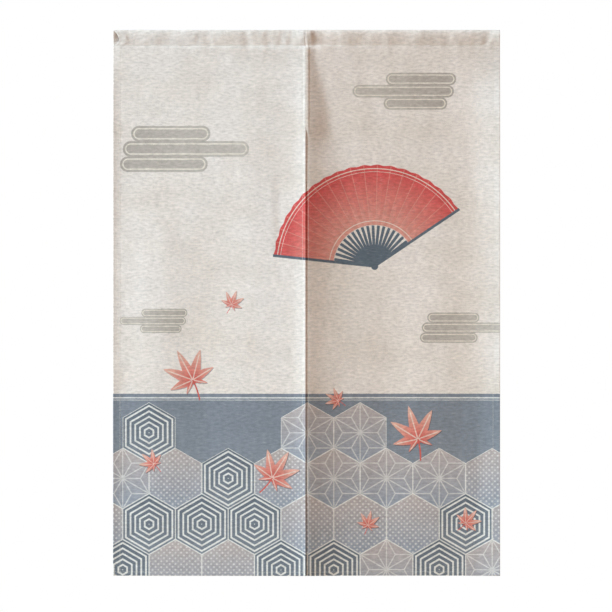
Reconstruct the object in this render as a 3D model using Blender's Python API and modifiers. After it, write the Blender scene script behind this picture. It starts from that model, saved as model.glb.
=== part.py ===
"""Noren doorway curtain: two cloth panels sewn together at the top, each with a rod pocket.

Metres, +Z up. The origin is the middle of the top fold, x runs across the doorway, and the
printed front faces -Y. "Drop" is the distance down from the top fold.
"""

import math
from collections import namedtuple

import bmesh
import bpy

# Size of the whole curtain
WIDTH = 0.850
HEIGHT = 1.200

# Seams and hems
POCKET_DROP = 0.0325
SEWN_DROP = 0.214
SIDE_HEM = 0.015
INNER_HEM = 0.007
BOTTOM_HEM = 0.008
HEM_STEP = 0.0008

# Cloth, one layer in the panels and two in their hems
SHEET_THICK = 0.0010
HEM_THICK = 0.0020
GAP = 0.0003
SLIT_GAP = 0.0010
SLIT_OPENS_OVER = 0.030

# Rod pocket, a soft tube that stands a little open and is flat at its stitched foot
POCKET_DEPTH = 0.0130
POCKET_WALL = 0.0010
FOOT_THICK = 0.0024
MIDDLE_BULGE = 0.0030
MIDDLE_BULGE_WIDTH = 0.030
RIPPLE = 0.0006
RIPPLE_LENGTH = 0.085

# The ridge where both panels stand forward along the slit
RIDGE_SLOPE = 0.23
RIDGE_SLOPE_GROWS_OVER = 0.060
RIDGE_WIDTH_TOP = 0.008
RIDGE_WIDTH_FULL = 0.065
RIDGE_WIDENS_OVER = 0.290
LEFT_EDGE_SHARE = 0.32
LEFT_EDGE_WIDTH = 0.028

# Below the seam the right panel's inner edge sits this far behind the left one's
RIGHT_TUCK = 0.0026
RIGHT_TUCK_WIDTH = 0.100

# Curl of the outer side hems
CURL_GROWS_OVER = 0.150
LEFT_CURL = 0.0025
LEFT_CURL_WIDTH = 0.011
RIGHT_CURL = 0.0070
RIGHT_CURL_WIDTH = 0.120

# Grid lines of a panel, crowded towards the slit and the top, and of a pocket
PANEL_COLUMNS = 20
PANEL_ROWS = 22
COLUMN_CROWDING = 1.35
ROW_CROWDING = 1.25
POCKET_STATIONS = 15
POCKET_SIDES = 17

# Soft folds that run down the cloth. Each starts at "x" from the middle and leans by "lean"
# along its length. It has a half width, fades in at "start" and out at "end" of the drop, and
# stands "forward" of the cloth around it, or behind it where that is negative.
Fold = namedtuple("Fold", "x lean half_width start end forward")
FOLDS = (
    Fold(-0.345, 0.015, 0.060, 0.10, 1.45, 0.0030),
    Fold(-0.215, -0.020, 0.055, 0.25, 1.30, -0.0028),
    Fold(-0.130, 0.010, 0.040, 0.05, 0.80, 0.0016),
    Fold(-0.066, 0.004, 0.014, 0.24, 0.56, -0.0013),
    Fold(0.108, 0.012, 0.026, 0.05, 0.42, 0.0020),
    Fold(0.190, -0.025, 0.050, 0.30, 1.40, -0.0026),
    Fold(0.300, 0.020, 0.045, 0.12, 1.10, 0.0018),
    Fold(0.385, -0.010, 0.020, 0.60, 1.40, -0.0012),
)

CLOTH_COLOUR = (0.72, 0.69, 0.65, 1.0)
CLOTH_ROUGHNESS = 0.9
SHARP_ANGLE = math.radians(40)


def smooth(share):
    """0 below 0 and 1 above 1, with an S-shaped rise between."""
    clamped = min(max(share, 0.0), 1.0)
    return clamped * clamped * (3.0 - 2.0 * clamped)


def slit_opened(drop):
    """0 where the panels are sewn together, rising to 1 below the seam."""
    return smooth((drop - SEWN_DROP) / SLIT_OPENS_OVER)


def ridge_forward(x, drop):
    """How far the ridge along the slit brings the cloth forward at a point."""
    below_pocket = drop - POCKET_DROP
    widened = smooth(below_pocket / RIDGE_WIDENS_OVER)
    width = RIDGE_WIDTH_TOP + (RIDGE_WIDTH_FULL - RIDGE_WIDTH_TOP) * widened
    height = RIDGE_SLOPE * smooth(below_pocket / RIDGE_SLOPE_GROWS_OVER) * width
    if x > 0:
        tuck = RIGHT_TUCK * slit_opened(drop) * math.exp(-x / RIGHT_TUCK_WIDTH)
        return height * (1.0 - math.tanh(x / width)) - tuck
    edge = height * LEFT_EDGE_SHARE
    lean = height - edge
    return lean * (1.0 + x / (WIDTH / 2)) + edge * (1.0 - math.tanh(-x / LEFT_EDGE_WIDTH))


def curl_forward(x, drop):
    """How far the curl of the outer side hems brings the cloth forward."""
    grown = smooth((drop - POCKET_DROP) / CURL_GROWS_OVER)
    inward = WIDTH / 2 - abs(x)
    if x < 0:
        return LEFT_CURL * grown * math.exp(-inward / LEFT_CURL_WIDTH)
    return RIGHT_CURL * grown * smooth(1.0 - inward / RIGHT_CURL_WIDTH)


def fold_forward(fold, x, drop):
    along = (drop - fold.start) / (fold.end - fold.start)
    if not 0.0 < along < 1.0:
        return 0.0
    across = (x - fold.x - fold.lean * along) / fold.half_width
    return fold.forward * math.sin(math.pi * along) ** 2 * math.exp(-across * across)


def forward(x, drop):
    """How far the cloth stands in front of the plane that it leaves the pocket in."""
    folds = sum(fold_forward(fold, x, drop) for fold in FOLDS)
    return ridge_forward(x, drop) + curl_forward(x, drop) + folds


def inner_edge(drop):
    """Distance of a panel's inner edge from the middle: sewn shut above, a narrow slit below."""
    return (GAP + (SLIT_GAP - GAP) * slit_opened(drop)) / 2


def cloth_thickness(x, drop):
    """Two layers in the hems, one elsewhere."""
    tolerance = HEM_STEP / 2
    in_inner_hem = abs(x) - inner_edge(drop) < INNER_HEM + tolerance
    in_side_hem = WIDTH / 2 - abs(x) < SIDE_HEM + tolerance
    in_bottom_hem = HEIGHT - drop < BOTTOM_HEM + tolerance
    return HEM_THICK if in_inner_hem or in_side_hem or in_bottom_hem else SHEET_THICK


def crowded_shares(count, crowding, hem_shares, step):
    """Shares from 0 to 1, crowded towards 0, with a close pair of lines at each hem."""
    pairs = [line for hem in hem_shares for line in (hem, hem + step if hem < 0.5 else hem - step)]
    clear = 0.3 / count
    shares = [(i / (count - 1)) ** crowding for i in range(count)]
    kept = [share for share in shares if all(abs(share - line) > clear for line in pairs)]
    return sorted({0.0, 1.0, *kept, *pairs})


def new_material(name):
    material = bpy.data.materials.new(name)
    material.use_nodes = True
    shader = material.node_tree.nodes["Principled BSDF"]
    shader.inputs["Base Color"].default_value = CLOTH_COLOUR
    shader.inputs["Roughness"].default_value = CLOTH_ROUGHNESS
    shader.inputs["Metallic"].default_value = 0.0
    return material


def new_object(name, maker, collection):
    """Turns a bmesh into a named, smooth-shaded object with a material of its own."""
    mesh = bpy.data.meshes.new(name)
    maker.to_mesh(mesh)
    maker.free()
    mesh.materials.append(new_material(name))
    mesh.shade_smooth()
    mesh.set_sharp_from_angle(angle=SHARP_ANGLE)
    obj = bpy.data.objects.new(name, mesh)
    collection.objects.link(obj)
    return obj


def make_panel(name, side, collection):
    """One hanging panel below its rod pocket. side is -1 for the left and 1 for the right."""
    half = WIDTH / 2
    top = POCKET_DROP + GAP
    length = HEIGHT - top
    column_hems = (INNER_HEM / half, 1.0 - SIDE_HEM / half)
    row_hems = (1.0 - BOTTOM_HEM / length,)
    columns = crowded_shares(PANEL_COLUMNS, COLUMN_CROWDING, column_hems, HEM_STEP / half)
    rows = crowded_shares(PANEL_ROWS, ROW_CROWDING, row_hems, HEM_STEP / length)
    maker = bmesh.new()
    bmesh.ops.create_grid(maker, x_segments=len(columns) - 1, y_segments=len(rows) - 1, size=0.5)
    for vertex in maker.verts:
        column = round((vertex.co.x + 0.5) * (len(columns) - 1))
        row = round((vertex.co.y + 0.5) * (len(rows) - 1))
        drop = top + rows[row] * length
        inner = inner_edge(drop)
        x = side * (inner + columns[column] * (half - inner))
        vertex.co = (x, -SHEET_THICK / 2 - forward(x, drop), -drop)
    extruded = bmesh.ops.extrude_face_region(maker, geom=maker.faces[:])
    for vertex in extruded["geom"]:
        if isinstance(vertex, bmesh.types.BMVert):
            vertex.co.y += cloth_thickness(vertex.co.x, -vertex.co.z)
    bmesh.ops.recalc_face_normals(maker, faces=maker.faces)
    return new_object(name, maker, collection)


def pocket_point(x, share):
    """A point on the pocket's skin.

    share runs from 0 at the front of the stitched foot, up the front and over the top fold,
    to 1 at the back of the foot.
    """
    on_front = share < 0.5
    half_turn = 2 * math.pi * (share if on_front else 1.0 - share)
    height_share = (1.0 - math.cos(half_turn)) / 2
    foot_share = 1.0 - height_share
    widest = 3.0 * math.sqrt(3.0) / 8
    swell = math.sin(half_turn) * math.sin(half_turn / 2) ** 2 / widest
    half_depth = POCKET_DEPTH / 2 * swell + FOOT_THICK / 2 * foot_share
    middle = foot_share * ((FOOT_THICK - SHEET_THICK) / 2 - forward(x, POCKET_DROP))
    if not on_front:
        return (x, middle + half_depth, -POCKET_DROP * foot_share)
    bulge = MIDDLE_BULGE * math.exp(-((x / MIDDLE_BULGE_WIDTH) ** 2))
    ripple = RIPPLE * math.cos(2 * math.pi * x / RIPPLE_LENGTH)
    return (x, middle - half_depth - (bulge + ripple) * swell, -POCKET_DROP * foot_share)


def make_pocket(name, side, collection):
    """The rod pocket of one panel: a closed tube of cloth along x, open at both ends."""
    inner, outer = GAP / 2, WIDTH / 2
    maker = bmesh.new()
    bmesh.ops.create_cone(
        maker, cap_ends=False, segments=POCKET_SIDES, radius1=1.0, radius2=1.0, depth=1.0
    )
    lengthwise = [edge for edge in maker.edges if edge.verts[0].co.z != edge.verts[1].co.z]
    bmesh.ops.subdivide_edges(maker, edges=lengthwise, cuts=POCKET_STATIONS - 2)
    for vertex in maker.verts:
        turn = math.atan2(vertex.co.y, vertex.co.x) / (2 * math.pi)
        corner = round(turn * POCKET_SIDES) % POCKET_SIDES
        x = side * (inner + (vertex.co.z + 0.5) * (outer - inner))
        vertex.co = pocket_point(x, corner / (POCKET_SIDES - 1))
    bmesh.ops.recalc_face_normals(maker, faces=maker.faces)
    pocket = new_object(name, maker, collection)
    wall = pocket.modifiers.new("wall", "SOLIDIFY")
    wall.thickness = POCKET_WALL
    wall.offset = -1.0
    return pocket


def main():
    for obj in list(bpy.data.objects):
        bpy.data.objects.remove(obj)
    collection = bpy.data.collections.new("noren_curtain")
    bpy.context.scene.collection.children.link(collection)
    for word, side in (("left", -1), ("right", 1)):
        make_panel(f"panel_{word}", side, collection)
        make_pocket(f"pocket_{word}", side, collection)


main()
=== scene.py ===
"""Looks of the noren curtain: hemmed, printed cotton and linen cloth hung by its rod pocket.

Metres, +Z up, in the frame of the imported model. The origin is the middle of the top fold and
the printed front faces -Y. "Drop" is the distance down from the top fold.
"""

import math
from collections import namedtuple

import bpy
import numpy as np
from mathutils import Matrix, Vector, noise

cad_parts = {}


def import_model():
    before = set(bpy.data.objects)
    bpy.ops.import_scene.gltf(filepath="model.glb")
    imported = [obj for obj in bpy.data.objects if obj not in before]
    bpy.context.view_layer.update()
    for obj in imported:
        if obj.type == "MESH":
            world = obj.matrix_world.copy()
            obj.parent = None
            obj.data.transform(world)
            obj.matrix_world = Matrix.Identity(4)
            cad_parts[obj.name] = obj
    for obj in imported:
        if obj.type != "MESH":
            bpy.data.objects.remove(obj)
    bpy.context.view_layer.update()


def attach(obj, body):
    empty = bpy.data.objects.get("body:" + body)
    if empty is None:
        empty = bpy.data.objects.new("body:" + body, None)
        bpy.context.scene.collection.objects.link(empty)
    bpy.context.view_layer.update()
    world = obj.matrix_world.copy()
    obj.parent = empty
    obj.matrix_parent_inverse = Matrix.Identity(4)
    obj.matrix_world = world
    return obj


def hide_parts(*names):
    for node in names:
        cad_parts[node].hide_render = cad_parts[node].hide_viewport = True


# Size of the whole curtain, its seams and its hems, as in the model, but the pocket's line of
# stitches lies 2 mm lower
WIDTH = 0.850
HEIGHT = 1.200
POCKET_DROP = 0.0345
SEWN_DROP = 0.214
SIDE_HEM = 0.015
INNER_HEM = 0.007
BOTTOM_HEM = 0.008

# Cloth of one layer, and how its folded edges turn
CLOTH_THICK = 0.0006
FOLD_RADIUS = 0.0004
LAYER_PITCH = 2 * FOLD_RADIUS
FOLD_STEPS = 5

# Rod pocket
POCKET_DEPTH = 0.0130
POCKET_PUFF = 0.22
LEFT_FRONT_SHARE = 0.42
RIGHT_FRONT_SHARE = 0.76
END_PULL = 0.013
END_PULL_REACH = 0.060
END_CURL = 0.0060
END_CURL_REACH = 0.020
POCKET_TURN = POCKET_DEPTH * 0.6
POCKET_TAIL = 0.0030
TAIL_TUCK = 0.0024
MIDDLE_BULGE = 0.0030
MIDDLE_BULGE_WIDTH = 0.030
RIPPLE = 0.0006
RIPPLE_LENGTH = 0.085

# The ridge where both panels stand forward along the slit, and the left panel's steady rise
# over the last centimetres before it
RIDGE_SLOPE = 0.235
RIDGE_STARTS_ABOVE = 0.004
RIDGE_SLOPE_GROWS_OVER = 0.013
RIDGE_WIDTH_TOP = 0.0155
RIDGE_WIDTH_FULL = 0.063
RIDGE_WIDENS_OVER = 0.120
RIDGE_FOOT_CRISP = 0.004
RIDGE_FOOT_SOFT = 0.024
RIDGE_SOFTENS_AT = 0.170
RIDGE_SOFTENS_OVER = 0.120
LEFT_EDGE_SHARE = 0.28
LEFT_EDGE_WIDTH = 0.023
LEFT_EDGE_WIDTH_TOP = 0.011
LEFT_EDGE_WIDENS_OVER = 0.035
CREST_SLOPE = 0.035
CREST_REACH = 0.031
CREST_FOOT = 0.0045

# The inner edges roll back into the seam, and below it the right one slips behind the left one
SLIT_OPENS_OVER = 0.030
SEAM_X = -0.0020
SEWN_SHIFT = 0.0007
LEFT_ROLL = 0.0006
LEFT_ROLL_WIDTH = 0.0010
RIGHT_ROLL = 0.0015
RIGHT_ROLL_WIDTH = 0.0058
RIGHT_RAISE = 0.0011
POCKET_ROLL_NARROWER = 0.0045
SLIP_DEPTH = 0.0012
SLIP_WIDTH = 0.100
SLIP_ROLL = 0.0050
SLIP_ROLL_WIDTH = 0.0036
SEAM_OVERLAP = 0.0002
SLIT_OVERLAP = 0.0008

# Beside the seam the right panel steps back, and then a little forward again. Each step starts
# at "reach" from its edge.
SeamStep = namedtuple("SeamStep", "reach width back")
SEAM_STEPS = (SeamStep(0.0050, 0.0034, 0.0006), SeamStep(0.0086, 0.0040, -0.0002))

# Curl of the outer side hems
CURL_GROWS_OVER = 0.150
LEFT_CURL = 0.0026
LEFT_CURL_WIDTH = 0.014
RIGHT_CURL = 0.0105
RIGHT_CURL_WIDTH = 0.120

# Soft folds that run down the cloth, at most as deep as in the model
Fold = namedtuple("Fold", "x lean half_width start end forward")
FOLDS = (
    Fold(-0.345, 0.015, 0.060, 0.10, 1.45, 0.0024),
    Fold(-0.215, -0.020, 0.055, 0.25, 1.30, -0.0016),
    Fold(-0.130, 0.010, 0.040, 0.05, 0.80, 0.0007),
    Fold(-0.062, 0.004, 0.011, 0.30, 0.56, -0.0009),
    Fold(0.108, 0.012, 0.026, 0.05, 0.42, 0.0009),
    Fold(0.190, -0.025, 0.050, 0.30, 1.40, -0.0019),
    Fold(0.300, 0.020, 0.045, 0.12, 1.10, 0.0011),
    Fold(0.385, -0.010, 0.020, 0.60, 1.40, -0.0012),
)

# Small creases across the pocket. Each stands at x at the top fold, leans sideways down to the
# stitches, has a half width on its left and on its right, and reaches forward of the cloth
# around it, or behind it where that is negative.
Crease = namedtuple("Crease", "x lean left right forward")
POCKET_CREASES = (
    Crease(-0.2350, -0.0060, 0.0080, 0.0080, -0.0005),
    Crease(-0.1350, 0.0070, 0.0090, 0.0090, -0.0005),
    Crease(-0.0855, -0.0020, 0.0080, 0.0200, -0.0008),
    Crease(-0.0540, -0.0030, 0.0040, 0.0120, -0.0008),
    Crease(-0.0320, -0.0040, 0.0050, 0.0200, -0.0010),
    Crease(-0.0005, 0.0000, 0.0040, 0.0400, -0.0009),
    Crease(0.0090, 0.0000, 0.0022, 0.0040, 0.0004),
    Crease(0.0120, 0.0260, 0.0100, 0.0300, -0.0008),
    Crease(0.0225, 0.0040, 0.0115, 0.0450, -0.0021),
    Crease(0.1620, 0.0060, 0.0090, 0.0090, -0.0005),
    Crease(0.2700, -0.0080, 0.0110, 0.0110, -0.0006),
    Crease(0.4030, -0.0080, 0.0090, 0.0090, -0.0016),
    Crease(0.4290, -0.0020, 0.0090, 0.0090, 0.0010),
)

# Small unevenness of the cloth: its height, and how fast it changes across and down. "seed"
# sets it apart from the others.
Wrinkle = namedtuple("Wrinkle", "height across down seed")
BROAD = Wrinkle(0.0009, 8.0, 3.5, 5.0)
FINE = Wrinkle(0.00028, 34.0, 13.0, 9.0)
PUCKER = Wrinkle(0.0008, 62.0, 9.0, 2.5)
PUCKER_FADES_OVER = 0.016
POCKET_WAVE = Wrinkle(0.0010, 21.0, 2.2, 4.0)
POCKET_FINE = Wrinkle(0.0005, 70.0, 5.0, 8.0)

# Fineness of the cloth mesh
MAIN_ROWS = 150
POCKET_ROWS = 45
MAIN_COLUMNS = 132
HEM_ROWS = (0.0030, 0.0050, 0.0065, 0.0080, 0.0095, 0.0115, 0.0150)

# Thread and stitches
STITCH_LENGTH = 0.0028
STITCH_PITCH = 0.0034
THREAD_RADIUS = 0.00028
STITCH_SIDES = 6
STITCH_VALLEY_WIDTH = 0.0022
POCKET_VALLEY = 0.00025
INNER_VALLEY = 0.00028
SIDE_VALLEY = 0.00008
BOTTOM_VALLEY = 0.00010
SEAM_STITCH_REACH = 0.0012
STITCH_MARGIN = 0.004
STITCH_END_MARGIN = 0.003
STITCH_PROBE = 0.0012

# Stage and camera
FLOOR_DROP = 2.0
FLOOR_SIZE = 5.0
PHOTO_PIXELS = 612
METRES_PER_PIXEL = WIDTH / 386.5
CAMERA_DISTANCE = 9.0
SENSOR_WIDTH = 36.0
VIEW_CENTRE_X = -0.0010
VIEW_CENTRE_DROP = 0.6073


def smooth(share):
    """0 below 0 and 1 above 1, with an S-shaped rise between."""
    clamped = min(max(share, 0.0), 1.0)
    return clamped * clamped * (3.0 - 2.0 * clamped)


def bell(distance, half_width):
    return math.exp(-((distance / half_width) ** 2))


def slit_opened(drop):
    """0 where the panels are sewn together, rising to 1 below the seam."""
    return smooth((drop - SEWN_DROP) / SLIT_OPENS_OVER)


def ridge_forward(side, x, drop):
    """How far the ridge along the slit brings the cloth forward at a point."""
    below = max(drop - POCKET_DROP, 0.0)
    grown = smooth((below + RIDGE_STARTS_ABOVE) / RIDGE_SLOPE_GROWS_OVER)
    slope = RIDGE_SLOPE * grown
    widened = 1.0 - math.exp(-below / RIDGE_WIDENS_OVER)
    width = math.hypot(RIDGE_WIDTH_TOP, RIDGE_WIDTH_FULL * widened)
    softened = smooth((below - RIDGE_SOFTENS_AT) / RIDGE_SOFTENS_OVER)
    foot = RIDGE_FOOT_CRISP + (RIDGE_FOOT_SOFT - RIDGE_FOOT_CRISP) * softened
    if side > 0:
        crest = CREST_SLOPE * grown * CREST_REACH * math.exp(-abs(x) / SLIP_WIDTH)
        return crest + slope * foot * math.log1p(math.exp((width - x) / foot))
    crest = CREST_SLOPE * grown * CREST_FOOT * math.log1p(math.exp((CREST_REACH + x) / CREST_FOOT))
    height = slope * foot * math.log1p(math.exp(width / foot))
    edge = height * LEFT_EDGE_SHARE
    lean = height - edge
    narrower = (LEFT_EDGE_WIDTH - LEFT_EDGE_WIDTH_TOP) * math.exp(-below / LEFT_EDGE_WIDENS_OVER)
    rise = 1.0 - math.tanh(-x / (LEFT_EDGE_WIDTH - narrower))
    return crest + lean * (1.0 + x / (WIDTH / 2)) + edge * rise


def edge_roll(side, x, drop):
    """How far a panel's inner edge turns back, into the seam or behind the other edge."""
    reach = abs(x - inner_edge(side, drop))
    opened = slit_opened(drop)
    if side < 0:
        return LEFT_ROLL * math.exp(-reach / LEFT_ROLL_WIDTH) * (1.0 - opened)
    steps = sum(step.back * smooth((reach - step.reach) / step.width) for step in SEAM_STEPS)
    raised = RIGHT_RAISE * math.exp(-reach / SLIP_WIDTH)
    sewn = RIGHT_ROLL * max(1.0 - reach / RIGHT_ROLL_WIDTH, 0.0) + steps - raised
    slipped = SLIP_DEPTH * math.exp(-reach / SLIP_WIDTH) + SLIP_ROLL * bell(reach, SLIP_ROLL_WIDTH)
    slipped += sum(step.back for step in SEAM_STEPS)
    return sewn * (1.0 - opened) + slipped * opened


def curl_forward(side, x, drop):
    """How far the curl of the outer side hems brings the cloth forward."""
    grown = smooth((drop - POCKET_DROP) / CURL_GROWS_OVER)
    inward = max(WIDTH / 2 - abs(x), 0.0)
    if side < 0:
        return LEFT_CURL * grown * math.exp(-inward / LEFT_CURL_WIDTH)
    return RIGHT_CURL * grown * max(1.0 - inward / RIGHT_CURL_WIDTH, 0.0) ** 2


def fold_forward(fold, x, drop):
    along = (drop - fold.start) / (fold.end - fold.start)
    if not 0.0 < along < 1.0:
        return 0.0
    across = (x - fold.x - fold.lean * along) / fold.half_width
    return fold.forward * math.sin(math.pi * along) ** 2 * math.exp(-across * across)


def unevenness(wrinkle, side, x, down):
    place = (x * wrinkle.across, down * wrinkle.down, side * wrinkle.seed)
    return wrinkle.height * noise.noise(Vector(place))


def wrinkle_forward(side, x, drop):
    """Small unevenness of the cloth, strongest where the pocket's stitches draw it in."""
    drawn = math.exp(-max(drop - POCKET_DROP, 0.0) / PUCKER_FADES_OVER)
    pucker = drawn * unevenness(PUCKER, 1, x, drop)
    return unevenness(BROAD, side, x, drop) + unevenness(FINE, side, x, drop) + pucker


def drawn_in(side, x, drop):
    """How far the lines of stitches draw the cloth in."""
    reach = abs(x - inner_edge(side, drop))
    lines = (
        (POCKET_VALLEY, drop - POCKET_DROP),
        (INNER_VALLEY, reach - INNER_HEM),
        (SIDE_VALLEY, WIDTH / 2 - abs(x) - SIDE_HEM),
        (BOTTOM_VALLEY, HEIGHT - drop - BOTTOM_HEM),
    )
    return sum(depth * bell(away, STITCH_VALLEY_WIDTH) for depth, away in lines)


def forward(side, x, drop):
    """How far the cloth stands in front of the plane that it leaves the pocket in."""
    folds = sum(fold_forward(fold, x, drop) for fold in FOLDS)
    shape = ridge_forward(side, x, drop) + curl_forward(side, x, drop) + folds
    back = drawn_in(side, x, drop) + edge_roll(side, x, drop)
    return shape + wrinkle_forward(side, x, drop) - back


def inner_edge(side, drop):
    """Where a panel's inner edge lies in x. Below the seam the right one slips under the left."""
    sewn = SEWN_SHIFT - side * SEAM_OVERLAP / 2
    slipped = 0.0 if side < 0 else -SLIT_OVERLAP
    return SEAM_X + sewn + (slipped - sewn) * smooth((slit_opened(drop) - 0.5) * 2)


def hem_share(side, x, drop):
    """1 in the side hems and the inner hem, where the cloth lies double, and 0 elsewhere."""
    outer = WIDTH / 2 - abs(x) - SIDE_HEM
    inner = abs(x - inner_edge(side, drop)) - INNER_HEM
    return 1.0 - smooth(min(outer, inner) / 0.003)


def pocket_creases(x, foot_share):
    total = 0.0
    for crease in POCKET_CREASES:
        away = x - crease.x - crease.lean * foot_share
        total += crease.forward * bell(away, crease.left if away < 0 else crease.right)
    return total


def left_end(side, x, reach):
    """1 at the left pocket's open end, falling to 0 at this reach from it."""
    return 0.0 if side > 0 else 1.0 - smooth((WIDTH / 2 - abs(x)) / reach)


def end_pull(side, x, share):
    """How far the front of the left pocket's open end is drawn in towards the middle."""
    if share > 0.5:
        return 0.0
    height_share = (1.0 - math.cos(2 * math.pi * share)) / 2
    drawn = math.sin(math.pi * height_share ** 0.7) ** 0.75
    return END_PULL * left_end(side, x, END_PULL_REACH) * drawn


def pocket_point(side, x, share, foot_depth):
    """y and z on the pocket. share runs from 0 at the front of the stitched foot, up the front
    and over the top fold, to 1 at the back of the foot."""
    on_front = share < 0.5
    half_turn = 2 * math.pi * (share if on_front else 1.0 - share)
    height_share = (1.0 - math.cos(half_turn)) / 2
    foot_share = 1.0 - height_share
    widest = 3.0 * math.sqrt(3.0) / 8
    droop = math.sin(half_turn) * math.sin(half_turn / 2) ** 2 / widest
    swell = (1.0 - POCKET_PUFF) * droop + POCKET_PUFF * math.sin(half_turn)
    half_depth = (POCKET_DEPTH - CLOTH_THICK) / 2 * swell + foot_depth / 2 * foot_share
    middle = foot_share * (foot_depth / 2 - forward(side, x, POCKET_DROP))
    z = -CLOTH_THICK / 2 - (POCKET_DROP - CLOTH_THICK / 2) * foot_share
    wave = unevenness(POCKET_WAVE, side, x, share) * height_share
    fine = unevenness(POCKET_FINE, 1, x, share) * swell
    narrower = max(side, 0) * POCKET_ROLL_NARROWER * smooth(6.0 * height_share)
    middle += height_share * edge_roll(side, x + narrower, POCKET_DROP)
    if not on_front:
        curl = END_CURL * left_end(side, x, END_CURL_REACH) * swell
        return middle + half_depth - curl + wave + fine, z
    bulge = MIDDLE_BULGE * bell(x, MIDDLE_BULGE_WIDTH)
    ripple = RIPPLE * math.cos(2 * math.pi * x / RIPPLE_LENGTH)
    held = math.sqrt(math.sin(half_turn)) * foot_share
    creased = pocket_creases(x, foot_share) * (1.0 - (1.0 - swell) * (1.0 - held))
    lift = (bulge + ripple) * swell + creased
    hollow = (1.0 - (LEFT_FRONT_SHARE if side < 0 else RIGHT_FRONT_SHARE)) * POCKET_DEPTH / 2 * swell
    return middle - half_depth - lift + hollow + wave + fine, z


# Rows of the cloth mesh, from the hidden edge of the bottom hem, up the front, over the pocket
# and down to the hidden edge of the pocket's tail. "place" is a height, angle, drop or share.
Row = namedtuple("Row", "part place cloth")


def bottom_rows():
    turned = [Row("turned", height, -HEIGHT - height) for height in (0.0078, 0.0055, 0.0032)]
    angles = np.linspace(-90, 90, FOLD_STEPS)
    folded = [
        Row("bottom fold", math.radians(a), -HEIGHT + FOLD_RADIUS * math.radians(a - 90))
        for a in angles
    ]
    return turned + folded


def hanging_drops():
    """Drops of the rows of the hanging front, close together at the hem and under the pocket."""
    near_hem = [HEIGHT - height for height in HEM_ROWS]
    main = np.linspace(HEIGHT - 0.020, POCKET_DROP + 0.030, MAIN_ROWS)
    near_pocket = POCKET_DROP + np.array([0.026, 0.022, 0.018, 0.0145, 0.0115, 0.009, 0.007, 0.0052])
    last = POCKET_DROP + np.array([0.0038, 0.0026, 0.0015, 0.0007])
    return [*near_hem, *main, *near_pocket, *last]


def pocket_rows():
    turns = np.linspace(0.0, math.pi, POCKET_ROWS)
    shares = [0.5 - 0.5 * math.cos(turn) for turn in turns]
    around = 2 * POCKET_DROP + POCKET_TURN
    return [Row("pocket", share, -POCKET_DROP + share * around) for share in shares]


def tail_rows():
    start = POCKET_DROP + POCKET_TURN
    tail = [Row("tail", drop, start + drop) for drop in (0.0010, 0.0020, POCKET_TAIL)]
    angles = np.linspace(60, -60, FOLD_STEPS - 1)
    folded = [Row("tail fold", math.radians(a), start + POCKET_TAIL + FOLD_RADIUS) for a in angles]
    drops = (POCKET_TAIL, POCKET_TAIL - TAIL_TUCK)
    tucked = [Row("tucked", drop, start + 2 * POCKET_TAIL) for drop in drops]
    return tail + folded + tucked


def all_rows():
    hanging = [Row("hang", drop, -drop) for drop in hanging_drops()]
    return bottom_rows() + hanging + pocket_rows() + tail_rows()


def row_point(row, side, x, extra):
    """y and z where a row crosses x. extra is the room that hidden side hems need inside a fold."""
    radius = FOLD_RADIUS + extra
    foot_depth = 2 * LAYER_PITCH + 2 * extra
    if row.part == "pocket":
        return pocket_point(side, x, row.place, foot_depth)
    if row.part == "hang":
        return -forward(side, x, row.place), -row.place
    if row.part == "turned":
        return 2 * radius - forward(side, x, HEIGHT - row.place), row.place - HEIGHT
    if row.part == "bottom fold":
        depth = radius * (1.0 - math.sin(row.place))
        return depth - forward(side, x, HEIGHT), radius * (1.0 - math.cos(row.place)) - HEIGHT
    at_foot = foot_depth - forward(side, x, POCKET_DROP)
    if row.part == "tail":
        return at_foot, -POCKET_DROP - row.place
    if row.part == "tucked":
        return at_foot - 2 * radius, -POCKET_DROP - row.place
    depth = radius * (1.0 - math.sin(row.place))
    return at_foot - depth, -POCKET_DROP - POCKET_TAIL - radius * math.cos(row.place)


# Columns of the cloth mesh. "reach" is the distance from the nearer edge of the panel, "depth"
# how far the folded hem lies inside, and "cloth" the distance along the cloth from that edge.
Column = namedtuple("Column", "at_inner reach depth cloth")


def hem_columns(at_inner, hem):
    """From the hidden edge of a side hem, round its fold."""
    hidden = [Column(at_inner, reach, LAYER_PITCH, -reach) for reach in np.linspace(hem, 0.0012, 4)]
    angles = [math.radians(a) for a in np.linspace(-90, 90, FOLD_STEPS)]
    folded = [
        Column(at_inner, FOLD_RADIUS * (1 - math.cos(a)), FOLD_RADIUS * (1 - math.sin(a)), FOLD_RADIUS * a)
        for a in angles
    ]
    return hidden + folded


def all_columns():
    """Columns from the hidden edge of the inner hem, across the front, to that of the side hem."""
    at_inner = [0.0012, 0.0024, 0.0040, 0.0055, 0.0070, 0.0085, 0.0105, 0.0135, 0.0170]
    at_outer = [0.0012, 0.0030, 0.0060, 0.0090, 0.0120, 0.0137, 0.0150, 0.0163, 0.0180, 0.0205, 0.0240]
    across = np.linspace(0.0200, WIDTH / 2 - 0.0275, MAIN_COLUMNS)
    front = [Column(True, reach, 0.0, reach) for reach in [*at_inner, *across]]
    outer = [Column(False, reach, 0.0, reach) for reach in reversed(at_outer)]
    return hem_columns(True, INNER_HEM) + front + outer + hem_columns(False, SIDE_HEM)[::-1]


def row_drop(row):
    """The drop at which a row's inner edge and hems are read."""
    if row.part == "hang":
        return row.place
    if row.part in ("turned", "bottom fold"):
        return HEIGHT
    return POCKET_DROP


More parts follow.
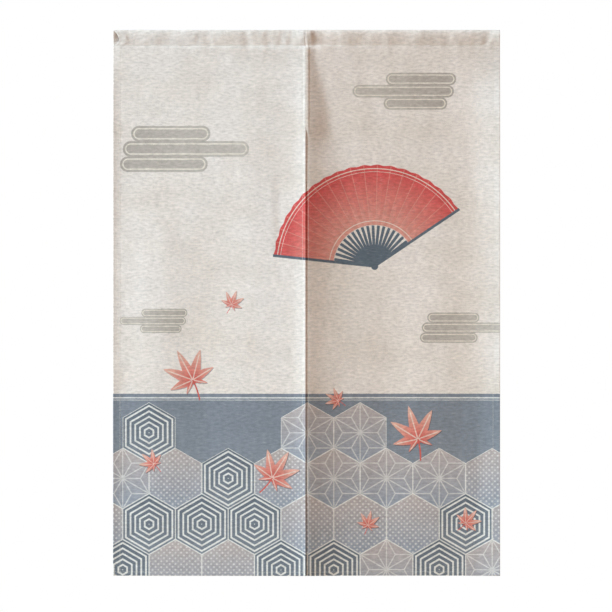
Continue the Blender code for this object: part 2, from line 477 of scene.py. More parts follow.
def cloth_grid(side):
    """Points and cloth coordinates of a panel with its pocket, as arrays of rows by columns."""
    rows, columns = all_rows(), all_columns()
    places = np.zeros((len(rows), len(columns), 3))
    cloth = np.zeros((len(rows), len(columns), 2))
    depths = np.array([column.depth for column in columns])
    for i, row in enumerate(rows):
        drop = row_drop(row)
        inner = inner_edge(side, drop)
        for j, column in enumerate(columns):
            start = inner if column.at_inner else side * WIDTH / 2
            way = side if column.at_inner else -side
            x = start + way * column.reach
            extra = LAYER_PITCH * hem_share(side, x, drop)
            places[i, j] = (x, *row_point(row, side, x, extra))
            if row.part == "pocket":
                places[i, j, 0] += end_pull(side, x, row.place)
            cloth[i, j] = (start + way * column.cloth, row.cloth)
    along = np.gradient(places, axis=0)[:, :, 1:]
    along /= np.linalg.norm(along, axis=2, keepdims=True)
    places[:, :, 1] += along[:, :, 1] * depths
    places[:, :, 2] -= along[:, :, 0] * depths
    return places, cloth


def grid_mesh(name, places, cloth):
    """A mesh of faces over a grid of points, with the cloth coordinates as its UV map."""
    rows, columns = places.shape[:2]
    index = np.arange(rows * columns).reshape(rows, columns)
    corners = (index[:-1, :-1], index[:-1, 1:], index[1:, 1:], index[1:, :-1])
    faces = np.stack(corners, axis=-1).reshape(-1, 4)
    mesh = bpy.data.meshes.new(name)
    mesh.from_pydata(places.reshape(-1, 3).tolist(), [], faces.tolist())
    layer = mesh.uv_layers.new(name="cloth")
    layer.uv.foreach_set("vector", cloth.reshape(-1, 2)[faces.ravel()].astype(np.float32).ravel())
    mesh.shade_smooth()
    return mesh


def make_cloth(name, side, materials):
    """One panel with its hems and its rod pocket, folded from a single sheet."""
    places, cloth = cloth_grid(side)
    if side < 0:
        places, cloth = places[:, ::-1], cloth[:, ::-1]
    mesh = grid_mesh(name, places, cloth)
    for material in materials:
        mesh.materials.append(material)
    piece = bpy.data.objects.new(name, mesh)
    bpy.context.scene.collection.objects.link(piece)
    shell = piece.modifiers.new("thickness", "SOLIDIFY")
    shell.thickness = CLOTH_THICK
    shell.offset = 0.0
    shell.material_offset = 1
    shell.material_offset_rim = 2
    return piece


def stitch_mesh():
    """Points and faces of one stitch along X: a thread that dips into the cloth at both ends."""
    stations = ((-0.5, 0.35, -0.9), (-0.36, 0.9, 0.1), (0.0, 1.0, 0.45), (0.36, 0.9, 0.1), (0.5, 0.35, -0.9))
    points, faces = [], []
    for along, thickness, lift in stations:
        for k in range(STITCH_SIDES):
            turn = 2 * math.pi * k / STITCH_SIDES
            radius = THREAD_RADIUS * thickness
            points.append(
                (
                    along * STITCH_LENGTH,
                    radius * math.cos(turn),
                    THREAD_RADIUS * lift + radius * math.sin(turn),
                )
            )
    for ring in range(len(stations) - 1):
        for k in range(STITCH_SIDES):
            near, far = ring * STITCH_SIDES, (ring + 1) * STITCH_SIDES
            after = (k + 1) % STITCH_SIDES
            faces.append((near + k, far + k, far + after, near + after))
    last = (len(stations) - 1) * STITCH_SIDES
    faces.append(tuple(range(STITCH_SIDES)))
    faces.append(tuple(last + k for k in reversed(range(STITCH_SIDES))))
    return np.array(points), faces


def layers_behind(side, x, drop, on_pocket):
    """Depth of cloth between the front and the back at a line of stitches."""
    extra = LAYER_PITCH * hem_share(side, x, drop)
    if on_pocket:
        return 2 * LAYER_PITCH + 2 * extra
    if HEIGHT - drop < BOTTOM_HEM + 0.001:
        return LAYER_PITCH + 2 * extra
    return LAYER_PITCH


def stitch_places(side):
    """(x, drop, runs down, on pocket) for each stitch of a panel."""
    half = WIDTH / 2
    across = np.arange(STITCH_MARGIN, half - STITCH_END_MARGIN, STITCH_PITCH)
    down = np.arange(POCKET_DROP + STITCH_MARGIN, HEIGHT - STITCH_MARGIN, STITCH_PITCH)
    seam = np.arange(STITCH_MARGIN, SEWN_DROP, STITCH_PITCH)
    places = [(side * reach, POCKET_DROP, False, True) for reach in across]
    places += [(side * reach, HEIGHT - BOTTOM_HEM, False, False) for reach in across]
    places += [(inner_edge(side, drop) + side * INNER_HEM, drop, True, False) for drop in down]
    places += [(side * (half - SIDE_HEM), drop, True, False) for drop in down]
    places += [
        (inner_edge(side, drop) + side * SEAM_STITCH_REACH, drop, True, False)
        for drop in seam
        if drop > POCKET_DROP + STITCH_END_MARGIN
    ]
    return places


def make_stitches(name, side, material):
    """Every stitch that shows on a panel, front and back, as one mesh."""
    shape, shape_faces = stitch_mesh()
    points, faces = [], []
    for x, drop, runs_down, on_pocket in stitch_places(side):
        y = -forward(side, x, drop)
        if runs_down:
            ahead = -forward(side, x, drop + STITCH_PROBE)
            along = Vector((0, ahead - y, -STITCH_PROBE)).normalized()
        else:
            ahead = -forward(side, x + STITCH_PROBE, drop)
            along = Vector((STITCH_PROBE, ahead - y, 0)).normalized()
        for outward, depth in ((-1, 0.0), (1, layers_behind(side, x, drop, on_pocket))):
            out = Vector((0, outward, 0))
            across = out.cross(along).normalized()
            up = along.cross(across)
            turn = Matrix((along, across, up)).transposed()
            surface = Vector((x, y + depth + outward * CLOTH_THICK / 2, -drop))
            moved = shape @ np.array(turn.transposed()) + np.array(surface)
            faces += [tuple(len(points) + corner for corner in face) for face in shape_faces]
            points += moved.tolist()
    mesh = bpy.data.meshes.new(name)
    mesh.from_pydata(points, [], faces)
    mesh.materials.append(material)
    mesh.shade_smooth()
    piece = bpy.data.objects.new(name, mesh)
    bpy.context.scene.collection.objects.link(piece)
    return piece


# Shader nodes as arithmetic
class Wire:
    """A number, colour or vector between shader nodes. Arithmetic on it adds Math nodes."""

    def __init__(self, graph, socket):
        self.graph = graph
        self.socket = socket

    def __add__(self, other):
        return self.graph.math("ADD", self, other)

    def __sub__(self, other):
        return self.graph.math("SUBTRACT", self, other)

    def __rsub__(self, other):
        return self.graph.math("SUBTRACT", other, self)

    def __mul__(self, other):
        return self.graph.math("MULTIPLY", self, other)

    def __truediv__(self, other):
        return self.graph.math("DIVIDE", self, other)

    def __lt__(self, other):
        return self.graph.math("LESS_THAN", self, other)

    def __gt__(self, other):
        return self.graph.math("GREATER_THAN", self, other)

    def __abs__(self):
        return self.graph.math("ABSOLUTE", self)

    __radd__ = __add__
    __rmul__ = __mul__


class Graph:
    """Adds nodes to one node tree and links them."""

    def __init__(self, tree):
        self.tree = tree

    def feed(self, socket, value):
        if isinstance(value, Wire):
            self.tree.links.new(value.socket, socket)
        else:
            socket.default_value = value

    def node(self, kind, inputs, output=0, **settings):
        """Adds a node, feeds its inputs by name or number and returns one of its outputs."""
        made = self.tree.nodes.new("ShaderNode" + kind)
        for name, value in settings.items():
            setattr(made, name, value)
        for key, value in inputs.items():
            self.feed(made.inputs[key], value)
        return Wire(self, made.outputs[output])

    def math(self, operation, *values):
        return self.node("Math", dict(enumerate(values)), operation=operation)

    def clamp(self, value):
        return self.node("Clamp", {0: value})

    def vector(self, operation, *values):
        return self.node("VectorMath", dict(enumerate(values)), operation=operation)

    def scaled(self, vector, scale):
        return self.node("VectorMath", {0: vector, "Scale": scale}, operation="SCALE")

    def length(self, vector):
        return self.node("VectorMath", {0: vector}, output="Value", operation="LENGTH")

    def parts(self, vector):
        """x and y of a vector."""
        x = self.node("SeparateXYZ", {0: vector})
        return x, Wire(self, x.socket.node.outputs[1])

    def joined(self, x, y, z=0.0):
        return self.node("CombineXYZ", {0: x, 1: y, 2: z})

    def moved(self, vector, x, y, turn=0.0, size=1.0):
        """The place as seen from a motif at x and y, turned by degrees and scaled to size."""
        settings = {
            "Vector": vector,
            "Location": (x, y, 0.0),
            "Rotation": (0.0, 0.0, math.radians(turn)),
            "Scale": (size, size, 1.0),
        }
        return self.node("Mapping", settings, vector_type="TEXTURE")

    def noise(self, vector, scale_x, scale_y, detail=2.0, seed=0.0):
        """Noise of about 0 to 1 with its own scale across and along the cloth."""
        stretched = self.vector("MULTIPLY", vector, (scale_x, scale_y, 1.0))
        shifted = self.vector("ADD", stretched, (seed, seed * 1.7, seed))
        return self.node("TexNoise", {"Vector": shifted, "Scale": 1.0, "Detail": detail})

    def curve(self, value, points):
        """A piecewise straight function of a number from 0 to 1."""
        made = self.tree.nodes.new("ShaderNodeFloatCurve")
        line = made.mapping.curves[0]
        line.points[0].location = points[0]
        line.points[1].location = points[-1]
        for place, height in points[1:-1]:
            line.points.new(place, height)
        for point in line.points:
            point.handle_type = "VECTOR"
        made.mapping.update()
        self.feed(made.inputs["Value"], value)
        return Wire(self, made.outputs["Value"])

    def mix(self, share, first, second):
        """A colour between two colours. A Mix node's colour sockets are numbers 6, 7 and 2."""
        return self.node("Mix", {0: share, 6: first, 7: second}, output=2, data_type="RGBA")

    def between(self, value, low, high):
        """0 at low and 1 at high, straight between and clamped outside."""
        inputs = {"Value": value, "From Min": low, "From Max": high}
        return self.node("MapRange", inputs, clamp=True)


# How much of its own colour cloth facing the camera sends back in this light
LIGHT_LEVEL = 0.93


def paint(red, green, blue):
    """The cloth colour that shows as this display colour, given from 0 to 255."""
    display = (channel / 255 for channel in (red, green, blue))
    linear = [c / 12.92 if c <= 0.04045 else ((c + 0.055) / 1.055) ** 2.4 for c in display]
    return (*(min(c / LIGHT_LEVEL, 1.0) for c in linear), 1.0)


# Where a motif isn't found, its place is moved this far off
FAR_AWAY = 9.0

# Colours of the cloth, its print and its thread
LINEN = paint(231, 221, 218)
LINEN_DEEP = paint(216, 203, 194)
RED = paint(206, 70, 72)
CORAL = paint(212, 150, 138)
DEEP_CORAL = paint(205, 88, 80)
PALE_CORAL = paint(222, 172, 158)
CREAM = paint(232, 222, 212)
SLATE = paint(122, 129, 142)
SLATE_LOW = paint(136, 143, 154)
SLATE_DARK = paint(92, 102, 116)
SOFT_TOP = paint(180, 168, 169)
SOFT_FOOT = paint(142, 151, 167)
WHITE = paint(226, 223, 222)
GREY = paint(176, 166, 160)
GREY_PALE = paint(206, 197, 191)
RIB = paint(86, 98, 112)
SHADOW = paint(78, 72, 80)
THREAD = paint(240, 236, 229)
THREAD_DEEP = paint(220, 212, 202)

# Layout of the print, from the middle of the curtain and its top fold
Copy = namedtuple("Copy", "x drop turn size")
FAN = Copy(0.150, 0.520, 14, 0.225)
LEAVES = (
    Copy(-0.250, 0.770, 28, 0.074),
    Copy(-0.075, 0.985, -32, 0.068),
    Copy(0.245, 0.900, 16, 0.076),
    Copy(-0.165, 0.605, -20, 0.034),
    Copy(-0.335, 0.955, 50, 0.036),
    Copy(0.070, 0.815, 62, 0.032),
    Copy(0.350, 1.085, -40, 0.038),
    Copy(0.135, 1.090, -12, 0.034),
)
MIST = (
    Copy(-0.280, 0.262, 0, 0.152),
    Copy(0.225, 0.135, 180, 0.122),
    Copy(0.335, 0.655, 0, 0.100),
    Copy(-0.330, 0.640, 180, 0.080),
)
BAND_DROP = 0.800
HEXAGON = 0.116

# Each cell of the patchwork has a chance from 0 to 1: below the first of these it is bold, then
# starred, then dotted, and above the last it is ringed
BOLD_BELOW = 0.34
STARS_BELOW = 0.60
DOTS_BELOW = 0.84
SOFT_LINES = 0.55

# Half of a maple leaf's outline: (angle from its tip in degrees, distance from its base)
MAPLE_OUTLINE = (
    (0, 1.00), (4, 0.84), (9, 0.66), (15, 0.50), (21, 0.42), (30, 0.58), (36, 0.76), (42, 0.94),
    (47, 0.74), (54, 0.54), (65, 0.37), (75, 0.50), (81, 0.61), (86, 0.74), (92, 0.56),
    (100, 0.39), (112, 0.25), (121, 0.32), (129, 0.46), (136, 0.28), (150, 0.14), (180, 0.10),
)
MAPLE_LOBES = (0, 42, 86, 130)
LEAF_SHADOW = (0.0011, -0.0017, 0.0)

# Bars of a mist motif, in shares of its half length: middle, height and half length
MistBar = namedtuple("MistBar", "x y half")
MIST_BARS = (MistBar(-0.12, 0.22, 0.46), MistBar(0.10, 0.0, 0.80), MistBar(-0.22, -0.22, 0.52))
MIST_RADIUS = 0.115


def nearest_copy(graph, place, copies, reach):
    """The place in the frame of the copy whose circle holds it, and far from any elsewhere."""
    picked, found = None, None
    for copy in copies:
        local = graph.moved(place, copy.x, -copy.drop, copy.turn, copy.size)
        inside = graph.length(local) < reach
        part = graph.scaled(local, inside)
        picked = part if picked is None else graph.vector("ADD", picked, part)
        found = inside if found is None else found + inside
    away = graph.joined((1.0 - found) * FAR_AWAY, FAR_AWAY * (1.0 - found))
    return graph.vector("ADD", picked, away)


def angle_of(graph, x, y):
    """Angle from the local +Y axis, in radians, positive to the right."""
    return graph.math("ARCTAN2", x, y)


def maple_leaf(graph, place):
    """The place on the nearest leaf, its turn from the leaf's tip and how far the outline lies."""
    local = nearest_copy(graph, place, LEAVES, 1.25)
    turn = abs(angle_of(graph, *graph.parts(local))) / math.pi
    outline = graph.curve(turn, [(angle / 180, radius) for angle, radius in MAPLE_OUTLINE])
    return local, turn, outline


def print_maple(graph, place, colour, cover):
    """Maple leaves, deep coral at the base and paler to the tips, with veins and a shadow line."""
    local, turn, outline = maple_leaf(graph, place)
    x, y = graph.parts(local)
    distance = graph.length(local)
    shaded, _, shade_outline = maple_leaf(graph, graph.vector("SUBTRACT", place, LEAF_SHADOW))
    shadow = graph.clamp((shade_outline - graph.length(shaded)) / 0.03 + 0.5) * 0.80
    vein_points = [(0.0, 0.0)]
    for near, far in zip(MAPLE_LOBES, MAPLE_LOBES[1:]):
        vein_points += [((near + far) / 360, math.radians(far - near) / 2), (far / 180, 0.0)]
    off_vein = graph.curve(turn, vein_points + [(1.0, math.radians(180 - MAPLE_LOBES[-1]))])
    leaf = graph.clamp((outline - distance) / 0.02 + 0.5)
    vein = graph.clamp((0.016 - off_vein * distance) / 0.012 + 0.5) * (distance < outline * 0.86)
    stem = (abs(x + y * y * 0.25) < 0.022) * (y < 0.0) * (y > -0.62)
    shade = graph.mix(graph.between(distance, 0.05, 0.85), DEEP_CORAL, PALE_CORAL)
    shade = graph.mix(vein * 0.65, shade, CREAM)
    colour = graph.mix(shadow, colour, SHADOW)
    colour = graph.mix(leaf, colour, shade)
    colour = graph.mix(stem, colour, DEEP_CORAL)
    marks = graph.math("MAXIMUM", graph.math("MAXIMUM", leaf, shadow), stem)
    return colour, graph.math("MAXIMUM", cover, marks)


def print_mist(graph, place, colour, cover):
    """Bars of mist with round ends, each group in a soft grey with a pale line inside."""
    local = nearest_copy(graph, place, MIST, 1.05)
    x, y = graph.parts(local)
    nearest = None
    for bar in MIST_BARS:
        past_end = graph.math("MAXIMUM", abs(x - bar.x) - bar.half, 0.0)
        distance = graph.length(graph.joined(past_end, y - bar.y)) - MIST_RADIUS
        nearest = distance if nearest is None else graph.math("MINIMUM", nearest, distance)
    bars = graph.clamp(0.5 - nearest / 0.008)
    line = graph.clamp((0.010 - abs(nearest + 0.042)) / 0.008 + 0.5)
    shade = graph.mix(graph.between(x, -0.9, 1.0) * 0.6, GREY, GREY_PALE)
    shade = graph.mix(line * 0.85, shade, CREAM)
    return graph.mix(bars, colour, shade), graph.math("MAXIMUM", cover, bars)


# The fan, with its lengths as shares of its radius
FAN_HALF_ANGLE = math.radians(70)
FAN_PLEATS = 18
FAN_INNER = 0.40
FAN_SOFT_EDGE = 0.006
Arc = namedtuple("Arc", "radius half_width")
FAN_ARCS = (Arc(0.955, 0.0045), Arc(0.925, 0.0022), Arc(0.445, 0.0035))


def print_fan(graph, place, colour, cover):
    """An open folding fan: pleated paper from red to coral on slim ribs."""
    local = graph.moved(place, FAN.x, -FAN.drop, FAN.turn, FAN.size)
    x, y = graph.parts(local)
    distance = graph.length(local)
    turn = angle_of(graph, x, y)
    pleat = 2 * FAN_HALF_ANGLE / FAN_PLEATS
    phase = graph.math("FRACT", turn / pleat + 50.0)
    from_fold = abs(phase - 0.5) * 2.0
    opened = graph.clamp((FAN_HALF_ANGLE - abs(turn)) * distance / FAN_SOFT_EDGE)
    outer_edge = 0.988 + from_fold * 0.012
    outer = graph.clamp((outer_edge - distance) / FAN_SOFT_EDGE)
    paper = outer * graph.clamp((distance - FAN_INNER) / FAN_SOFT_EDGE) * opened
    shade = graph.mix(graph.between(distance, FAN_INNER, 0.95), CORAL, RED)
    shade = graph.mix((phase > 0.5) * 0.16, shade, DEEP_CORAL)
    fold_line = (from_fold > 0.93) * 0.35
    shade = graph.mix(fold_line, shade, PALE_CORAL)
    arcs = [abs(distance - arc.radius) < arc.half_width for arc in FAN_ARCS]
    shade = graph.mix(graph.clamp(arcs[0] + arcs[1] + arcs[2]) * 0.8, shade, CREAM)
    rib_side = abs(phase - 0.5) * pleat * distance
    rib = (rib_side < 0.014) * (distance < FAN_INNER) * (distance > 0.03) * (abs(turn) < FAN_HALF_ANGLE)
    guard_side = abs(abs(turn) - FAN_HALF_ANGLE) * distance
    guard = graph.clamp((0.016 - guard_side) / 0.005) * (distance < 1.0)
    pivot = distance < 0.035
    sticks = graph.clamp(rib + guard + pivot)
    colour = graph.mix(paper, colour, shade)
    colour = graph.mix(sticks, colour, RIB)
    return colour, graph.math("MAXIMUM", cover, graph.math("MAXIMUM", paper, sticks))


def hexagon_distance(graph, x, y):
    """0 in a cell's middle and half its width at its edges."""
    slanted = abs(x) * 0.5 + abs(y) * (math.sqrt(3) / 2)
    return graph.math("MAXIMUM", abs(x), slanted)


def hexagon_cell(graph, place):
    """The place from the middle of its cell, the cell's own number pair, and its middle."""
    period = (HEXAGON, HEXAGON * math.sqrt(3), 1.0)
    half = (period[0] / 2, period[1] / 2, 0.0)
    wrapped = []
    for start in (place, graph.vector("SUBTRACT", place, half)):
        share = graph.vector("FRACTION", graph.vector("DIVIDE", start, period))
        wrapped.append(graph.vector("SUBTRACT", graph.vector("MULTIPLY", share, period), half))
    first, second = wrapped
    use_first = graph.length(first) < graph.length(second)
    local = graph.vector(
        "ADD", graph.scaled(first, use_first), graph.scaled(second, 1.0 - use_first)
    )
    centre = graph.vector("SUBTRACT", place, local)
    steps = graph.vector("DIVIDE", centre, (half[0], half[1], 1.0))
    number = graph.vector("FLOOR", graph.vector("ADD", steps, (0.5, 0.5, 0.0)))
    return local, number, centre


def line_mask(graph, off, half_width):
    return graph.clamp((half_width - off) / 0.0006 + 0.5)


def nested_lines(graph, x, y):
    """Hexagons inside each other."""
    off = graph.math("PINGPONG", hexagon_distance(graph, x, y) + 0.0008, 0.0052)
    return line_mask(graph, off, 0.0019)


def star_lines(graph, x, y):
    """The six-fold hemp leaf star, drawn in one twelfth of the cell."""
    sixth = math.pi / 3
    distance = graph.math("SQRT", x * x + y * y)
    turn = graph.math("PINGPONG", graph.math("ARCTAN2", x, y) + 2 * math.pi, sixth / 2)
    near = distance * graph.math("COSINE", turn)
    side = distance * graph.math("SINE", turn)
    corner = HEXAGON / math.sqrt(3)
    to_corner = side
    to_edge = distance * graph.math("SINE", sixth / 2 - turn) + (distance > HEXAGON / 3) * 1.0
    slanted = abs((near - corner) * 0.5 + side * (math.sqrt(3) / 2))
    off = graph.math("MINIMUM", graph.math("MINIMUM", to_corner, to_edge), slanted)
    return line_mask(graph, off, 0.0013)


def dots(graph, x, y):
    """Small round dots in staggered rows."""
    pitch = 0.0125
    column = graph.math("PINGPONG", x, pitch / 2)
    row = graph.math("PINGPONG", y, pitch / 2)
    other_column = pitch / 2 - column
    other_row = pitch / 2 - row
    near = graph.math("SQRT", column * column + row * row)
    far = graph.math("SQRT", other_column * other_column + other_row * other_row)
    return line_mask(graph, graph.math("MINIMUM", near, far), 0.0022)


def print_band(graph, place, colour, cover):
    """The slate band at the foot, with a patchwork of patterned hexagons."""
    x, y = graph.parts(place)
    band = graph.clamp((-BAND_DROP - y) / 0.0008 + 0.5)
    slate = graph.mix(graph.between(y, -BAND_DROP, -HEIGHT), SLATE, SLATE_LOW)
    local, number, centre = hexagon_cell(graph, graph.vector("ADD", place, (4.0, 4.0, 0.0)))
    local_x, local_y = graph.parts(local)
    _, centre_y = graph.parts(centre)
    chance = graph.node("TexWhiteNoise", {"Vector": number})
    other = graph.node("TexWhiteNoise", {"Vector": graph.vector("ADD", number, (17.0, 5.0, 0.0))})
    likely = graph.between(centre_y - 4.0, -BAND_DROP - 0.03, -BAND_DROP - 0.19)
    filled = other < likely * 1.2 - 0.1
    edge = HEXAGON / 2 - hexagon_distance(graph, local_x, local_y)
    inside = graph.clamp((edge - 0.0016) / 0.0008)
    bold = chance < BOLD_BELOW
    shaded = graph.between(local_y, HEXAGON * 0.5, -HEXAGON * 0.6)
    ground = graph.mix(shaded, SOFT_TOP, SOFT_FOOT)
    ground = graph.mix(bold, ground, graph.mix(shaded * 0.6, SLATE_DARK, SLATE_LOW))
    stars = star_lines(graph, local_x, local_y) * (chance > BOLD_BELOW) * (chance < STARS_BELOW)
    spots = dots(graph, local_x, local_y) * (chance > STARS_BELOW) * (chance < DOTS_BELOW)
    rings = line_mask(graph, graph.math("PINGPONG", edge, 0.0090), 0.0013) * (chance > DOTS_BELOW)
    soft = graph.clamp(stars + spots + rings) * SOFT_LINES
    lines = (nested_lines(graph, local_x, local_y) * bold * 0.92 + soft) * inside
    cells = graph.mix(lines, ground, WHITE)
    cells = graph.mix(line_mask(graph, edge, 0.0013) * 0.85, cells, WHITE)
    slate = graph.mix(filled, slate, cells)
    trim = line_mask(graph, abs(y + BAND_DROP + 0.009), 0.0014)
    trim = graph.clamp(trim + line_mask(graph, abs(y + BAND_DROP + 0.014), 0.0006))
    slate = graph.mix(trim * 0.85, slate, WHITE)
    return graph.mix(band, colour, slate), graph.math("MAXIMUM", cover, band)


def print_group():
    """A node group that gives the ink's colour and cover at a place on the cloth."""
    group = bpy.data.node_groups.new("print", "ShaderNodeTree")
    group.interface.new_socket("Ink", in_out="OUTPUT", socket_type="NodeSocketColor")
    group.interface.new_socket("Cover", in_out="OUTPUT", socket_type="NodeSocketFloat")
    graph = Graph(group)
    place = graph.node("UVMap", {}, uv_map="cloth")
    wobble = graph.node("TexNoise", {"Vector": place, "Scale": 420.0, "Detail": 1.0}, output="Color")
    wobble = graph.vector("SUBTRACT", wobble, (0.5, 0.5, 0.5))
    wobble = graph.vector("MULTIPLY", wobble, (0.0011, 0.0011, 0.0))
    place = graph.vector("ADD", place, wobble)
    colour, cover = LINEN, 0.0
    for layer in (print_mist, print_fan, print_band, print_maple):
        colour, cover = layer(graph, place, colour, cover)
    out = group.nodes.new("NodeGroupOutput")
    graph.feed(out.inputs["Ink"], colour)
    graph.feed(out.inputs["Cover"], cover)
    return group


# Weave of the cloth, a thread every so many metres, and where painted light starts on the right panel
# towards its outer hem, with the tint of that painted light
THREAD_PITCH = 0.00062
EDGE_LIGHT_START = 0.350
PAINTED_EDGE_LIGHT = (0.985, 1.0, 1.005, 1.0)

# Painted shade of each panel, the right one tinted darker and warmer as if turned from the key light, and
# how much of the print shows on the front and through to the back
PANEL_SHADE_TINTS = {"left": (1.0, 1.0, 1.0), "right": (0.98, 0.948, 0.92)}
FRONT_INK = 0.97
BACK_INK = 0.34


def cloth_grain(graph, place):
    """Shade of the unprinted cloth about 1, its slubs, and its height for the bump."""
    wander = graph.node("TexNoise", {"Vector": place, "Scale": 28.0, "Detail": 1.0}, output="Color")
    wander = graph.vector("SUBTRACT", wander, (0.5, 0.5, 0.5))
    drawn = graph.vector("ADD", place, graph.vector("MULTIPLY", wander, (0.003, 0.008, 0.0)))
    patches = graph.noise(drawn, 16.0, 26.0, 3.0, 3.0) - 0.5
    streaks = graph.noise(drawn, 90.0, 215.0, 3.0, 11.0) - 0.5
    wefts = graph.noise(drawn, 55.0, 1500.0, 1.0, 23.0) - 0.5
    warps = graph.noise(drawn, 1400.0, 50.0, 1.0, 61.0) - 0.5
    slub = graph.between(graph.noise(drawn, 70.0, 700.0, 0.0, 41.0), 0.66, 0.80)
    x, y = graph.parts(drawn)
    warp = graph.math("SINE", x * (2 * math.pi / THREAD_PITCH))
    weft = graph.math("SINE", y * (2 * math.pi / THREAD_PITCH))
    weave = warp * weft
    shade = patches * 0.18 + streaks * 0.70 + wefts * 0.26 + warps * 0.24 + slub * 0.05
    shade = shade + weave * 0.07 + 1.0
    height = weave * 0.00005 + streaks * 0.00022 + wefts * 0.00012 + warps * 0.00010 + slub * 0.00016
    return shade, slub, height


def cloth_material(name, group, shade_tone, show_through):
    """Printed cotton and linen. The tone given is painted shade on the cloth, and show_through thins the
    print.

    The painted shade gives way to painted light towards the outer right hem, where the key light would fall.
    """
    material = bpy.data.materials.new(name)
    material.use_nodes = True
    graph = Graph(material.node_tree)
    shader = material.node_tree.nodes["Principled BSDF"]
    place = graph.node("UVMap", {}, uv_map="cloth")
    made = material.node_tree.nodes.new("ShaderNodeGroup")
    made.node_tree = group
    ink = Wire(graph, made.outputs["Ink"])
    cover = Wire(graph, made.outputs["Cover"])
    shade, slub, height = cloth_grain(graph, place)
    blotches = graph.between(graph.noise(place, 7.0, 9.0, 3.0, 51.0), 0.35, 0.70)
    linen = graph.mix(blotches * 0.55, LINEN, LINEN_DEEP)
    cover = cover * show_through * (1.0 - slub * 0.12)
    colour = graph.mix(cover, linen, ink)
    across, _ = graph.parts(place)
    # Painted shade of the panel, and painted light over the last centimetres before the outer right hem
    painted_shading = graph.mix(graph.between(across, EDGE_LIGHT_START, WIDTH / 2) * 0.8, (*shade_tone, 1.0), PAINTED_EDGE_LIGHT)
    colour = graph.vector("MULTIPLY", colour, painted_shading)
    colour = graph.scaled(colour, shade)
    bump = graph.node("Bump", {"Height": height, "Strength": 0.8, "Distance": 1.0})
    graph.feed(shader.inputs["Base Color"], colour)
    graph.feed(shader.inputs["Normal"], bump)
    graph.feed(shader.inputs["Roughness"], slub * -0.10 + 0.90)
    shader.inputs["Sheen Weight"].default_value = 0.10
    shader.inputs["Sheen Roughness"].default_value = 0.5
    shader.inputs["Specular IOR Level"].default_value = 0.2
    return material


def thread_material():
    """Off-white sewing thread with its twist."""
    material = bpy.data.materials.new("thread")
    material.use_nodes = True
    graph = Graph(material.node_tree)
    shader = material.node_tree.nodes["Principled BSDF"]
    place = graph.node("NewGeometry", {}, output="Position")
    twist = graph.node("TexWave", {"Vector": place, "Scale": 900.0, "Distortion": 1.5})
    uneven = graph.noise(place, 300.0, 300.0)
    colour = graph.mix(uneven, THREAD, THREAD_DEEP)
    graph.feed(shader.inputs["Base Color"], colour)
    graph.feed(shader.inputs["Normal"], graph.node("Bump", {"Height": twist, "Distance": 0.0001}))
    shader.inputs["Roughness"].default_value = 0.7
    return material


def make_floor():
    """A pale floor well below the hanging cloth."""
    bpy.ops.mesh.primitive_plane_add(size=FLOOR_SIZE, location=(0, 0, -FLOOR_DROP))
    floor = bpy.context.object
    floor.name = "floor"
    material = bpy.data.materials.new("floor")
    material.use_nodes = True
    shader = material.node_tree.nodes["Principled BSDF"]
    shader.inputs["Base Color"].default_value = (0.80, 0.70, 0.59, 1.0)
    shader.inputs["Roughness"].default_value = 0.8
    floor.data.materials.append(material)


# Lights. The key is cool and grazes the cloth from the left, and the rest is warm.
Lamp = namedtuple("Lamp", "name place aim size power colour")
LAMPS = (
    Lamp("key", (-7.5, -2.75, 3.5), (0.0, 0.0, -0.6), 2.6, 1540.0, (0.715, 0.915, 1.0)),
    Lamp("fill", (2.6, -5.2, -0.4), (0.0, 0.0, -0.6), 3.0, 28.0, (1.0, 0.68, 0.47)),
    Lamp("back", (2.4, 4.6, 0.8), (0.0, 0.0, -0.6), 2.5, 230.0, (0.80, 0.93, 1.0)),
)
SKY_LIGHT = (1.0, 0.68, 0.47, 1.0)
SKY_POWER = 0.215


def make_lamps():
    for lamp in LAMPS:
        light = bpy.data.lights.new(lamp.name, "AREA")
        light.size = lamp.size
        light.energy = lamp.power
        light.color = lamp.colour
        holder = bpy.data.objects.new(lamp.name, light)
        holder.location = lamp.place
        aim = Vector(lamp.aim) - Vector(lamp.place)
        holder.rotation_euler = aim.to_track_quat("-Z", "Y").to_euler()
        bpy.context.scene.collection.objects.link(holder)


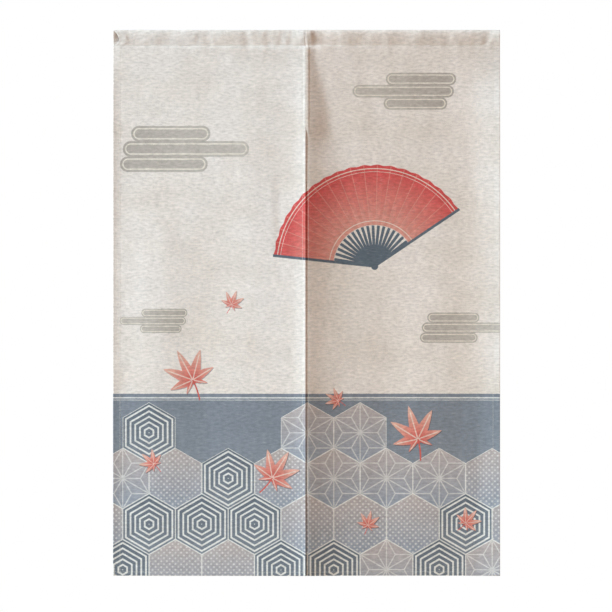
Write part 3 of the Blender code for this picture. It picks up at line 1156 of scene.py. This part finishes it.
def make_sky():
    """Soft light all round, and plain white behind the curtain."""
    world = bpy.data.worlds.new("sky")
    bpy.context.scene.world = world
    world.use_nodes = True
    tree = world.node_tree
    tree.nodes.clear()
    light = tree.nodes.new("ShaderNodeBackground")
    light.inputs["Color"].default_value = SKY_LIGHT
    light.inputs["Strength"].default_value = SKY_POWER
    behind = tree.nodes.new("ShaderNodeBackground")
    behind.inputs["Color"].default_value = (1.0, 1.0, 1.0, 1.0)
    path = tree.nodes.new("ShaderNodeLightPath")
    mix = tree.nodes.new("ShaderNodeMixShader")
    out = tree.nodes.new("ShaderNodeOutputWorld")
    tree.links.new(path.outputs["Is Camera Ray"], mix.inputs[0])
    tree.links.new(light.outputs[0], mix.inputs[1])
    tree.links.new(behind.outputs[0], mix.inputs[2])
    tree.links.new(mix.outputs[0], out.inputs[0])


def make_camera():
    """Square on to the front, through a long lens, framed as in the photograph."""
    camera = bpy.data.cameras.new("camera")
    camera.sensor_width = SENSOR_WIDTH
    camera.lens = SENSOR_WIDTH * CAMERA_DISTANCE / (PHOTO_PIXELS * METRES_PER_PIXEL)
    holder = bpy.data.objects.new("camera", camera)
    holder.location = (VIEW_CENTRE_X, -CAMERA_DISTANCE, -VIEW_CENTRE_DROP)
    holder.rotation_euler = (math.pi / 2, 0, 0)
    bpy.context.scene.collection.objects.link(holder)
    bpy.context.scene.camera = holder


def make_curtain():
    """Both panels with their stitches, dressed and attached to the root body, with the model's panels and
    pockets hidden.
    """
    group = print_group()
    thread = thread_material()
    for word, side in (("left", -1), ("right", 1)):
        # Each panel's material carries that panel's painted shade
        front = cloth_material(f"cloth_{word}_front", group, PANEL_SHADE_TINTS[word], FRONT_INK)
        back = cloth_material(f"cloth_{word}_back", group, PANEL_SHADE_TINTS[word], BACK_INK)
        cloth = make_cloth(f"cloth_{word}", side, (front, back, front))
        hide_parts(f"panel_{word}", f"pocket_{word}")
        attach(cloth, "root")
        stitches = make_stitches(f"stitches_{word}", side, thread)
        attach(stitches, "root")


def main():
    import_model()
    bpy.context.scene.view_settings.view_transform = "Standard"
    make_floor()
    make_lamps()
    make_sky()
    make_camera()
    make_curtain()
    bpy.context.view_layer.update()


main()
